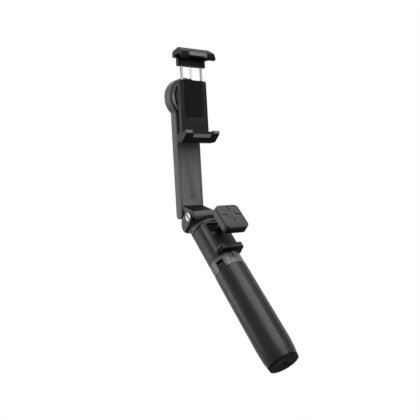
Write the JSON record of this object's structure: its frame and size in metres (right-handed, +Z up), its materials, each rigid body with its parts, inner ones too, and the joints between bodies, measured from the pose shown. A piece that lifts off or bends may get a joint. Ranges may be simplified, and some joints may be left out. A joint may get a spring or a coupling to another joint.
{
  "type": "camera gimbal",
  "caption": "Hand-held roll gimbal: tripod grip on a telescopic pole, docked remote, tilting arm with a roll motor and a sprung clamp for a small device.",
  "frame": {"origin": "on the grip's axis, in the middle of the round part of the legs", "axes": "+X to the holder's right seen from the front of the clamp, +Y to the back, +Z up along the arm; the grip leans forward at the foot"},
  "size_m": [0.038, 0.1404, 0.2863],
  "materials": {
    "grip_plastic": "satin black",
    "collar_plastic": "satin dark grey",
    "neck_plastic": "matte black",
    "arm_plastic": "fine matte dark grey",
    "clamp_plastic": "matte black",
    "motor_paint": "satin black",
    "black_rubber": "matte",
    "grey_rubber": "matte",
    "grey_inlay": "matte",
    "dock_plastic": "matte black",
    "guide_plastic": "smooth",
    "tube_metal": "satin drawn tube",
    "steel": "ground",
    "bright_steel": "polished",
    "dark_screw": "blackened",
    "washer": "smooth",
    "magnet": "plated",
    "copper": "enamelled wire",
    "board": "solder mask",
    "battery": "shrink film",
    "remote_plastic": "satin dark grey",
    "key_plastic": "satin dark grey",
    "key_silicone": "matte"
  },
  "bodies": {
    "handle": {"core_tube": "grip_plastic", "leg_collar": "collar_plastic", "leg_pins": "steel", "core_ring": "guide_plastic"},
    "left_leg": {"leg_left": "grip_plastic", "foot_left": "black_rubber"},
    "right_leg": {"leg_right": "grip_plastic", "foot_right": "black_rubber"},
    "rear_leg": {"leg_rear": "grip_plastic", "foot_rear": "black_rubber"},
    "pole_a": {"pole_1": "tube_metal", "slider_1": "guide_plastic", "ring_1": "guide_plastic"},
    "pole_b": {"pole_2": "tube_metal", "slider_2": "guide_plastic", "ring_2": "guide_plastic"},
    "neck": {"pole_3": "tube_metal", "slider_3": "guide_plastic", "neck_shell": "neck_plastic", "yoke": "neck_plastic", "dock_insert": "dock_plastic", "hinge_pin": "bright_steel", "hinge_nut": "bright_steel", "hinge_washers": "washer"},
    "arm": {"arm_shell": "arm_plastic", "arm_knuckle": "neck_plastic", "arm_cover": "arm_plastic", "arm_screw": "dark_screw", "arm_battery": "battery", "arm_board": "board", "motor_can": "motor_paint", "stator": "steel", "windings": "copper", "bearings": "steel", "motor_cap": "neck_plastic"},
    "clamp": {"rotor_bell": "motor_paint", "rotor_magnets": "magnet", "motor_shaft": "steel", "clamp_base": "clamp_plastic", "clamp_screws": "dark_screw", "back_pad": "black_rubber", "lower_pads": "grey_rubber", "lower_inlay": "grey_inlay", "jaw_spring": "steel"},
    "jaw": {"upper_jaw": "clamp_plastic", "jaw_rods": "steel", "upper_pads": "black_rubber", "upper_inlay": "grey_inlay"},
    "remote": {"remote_case": "remote_plastic", "remote_face": "remote_plastic", "remote_board": "board", "remote_cell": "steel", "key_mat": "key_silicone"},
    "key_a": {"key_1": "key_plastic"},
    "key_b": {"key_2": "key_plastic"},
    "key_c": {"key_3": "key_plastic"},
    "key_d": {"key_4": "key_plastic"}
  },
  "joints": [
    {"name": "left_leg_swing", "type": "hinge", "parent": "handle", "child": "left_leg", "pos_m": [-0.011, 0.02539, 0.03734], "axis": [-0.5, 0.6405, -0.5828], "range_deg": [0, 70]},
    {"name": "right_leg_swing", "type": "hinge", "parent": "handle", "child": "right_leg", "pos_m": [0.011, 0.02539, 0.03734], "axis": [-0.5, -0.6405, 0.5828], "range_deg": [0, 70]},
    {"name": "rear_leg_swing", "type": "hinge", "parent": "handle", "child": "rear_leg", "pos_m": [0, 0.03948, 0.02451], "axis": [1, 0, 0], "range_deg": [0, 70]},
    {"name": "pole_1_draw", "type": "slide", "parent": "handle", "child": "pole_a", "axis": [0, 0.673, 0.7396], "range_m": [0, 0.075]},
    {"name": "pole_2_draw", "type": "slide", "parent": "pole_a", "child": "pole_b", "axis": [0, 0.673, 0.7396], "range_m": [0, 0.075]},
    {"name": "pole_3_draw", "type": "slide", "parent": "pole_b", "child": "neck", "axis": [0, 0.673, 0.7396], "range_m": [0, 0.075]},
    {"name": "arm_tilt", "type": "hinge", "parent": "neck", "child": "arm", "pos_m": [0, 0.0659, 0.0797], "axis": [1, 0, 0], "range_deg": [-42, 48]},
    {"name": "clamp_roll", "type": "hinge", "parent": "arm", "child": "clamp", "pos_m": [0, 0.07785, 0.19366], "axis": [0, 1, 0], "range_deg": [-165, 165]},
    {"name": "jaw_slide", "type": "slide", "parent": "clamp", "child": "jaw", "axis": [0, 0, 1], "range_m": [-0.012, 0.018], "deforming": ["jaw_spring"]},
    {"name": "remote_draw", "type": "slide", "parent": "neck", "child": "remote", "axis": [0, -0.7396, 0.673], "range_m": [-0.0152, 0.01]},
    {"name": "key_1_press", "type": "slide", "parent": "remote", "child": "key_a", "axis": [0, 0.7396, -0.673], "range_m": [0, 0.0005], "stiffness_N_per_m": 400},
    {"name": "key_2_press", "type": "slide", "parent": "remote", "child": "key_b", "axis": [0, 0.7396, -0.673], "range_m": [0, 0.0005], "stiffness_N_per_m": 400},
    {"name": "key_3_press", "type": "slide", "parent": "remote", "child": "key_c", "axis": [0, 0.7396, -0.673], "range_m": [0, 0.0005], "stiffness_N_per_m": 400},
    {"name": "key_4_press", "type": "slide", "parent": "remote", "child": "key_d", "axis": [0, 0.7396, -0.673], "range_m": [0, 0.0005], "stiffness_N_per_m": 400}
  ]
}
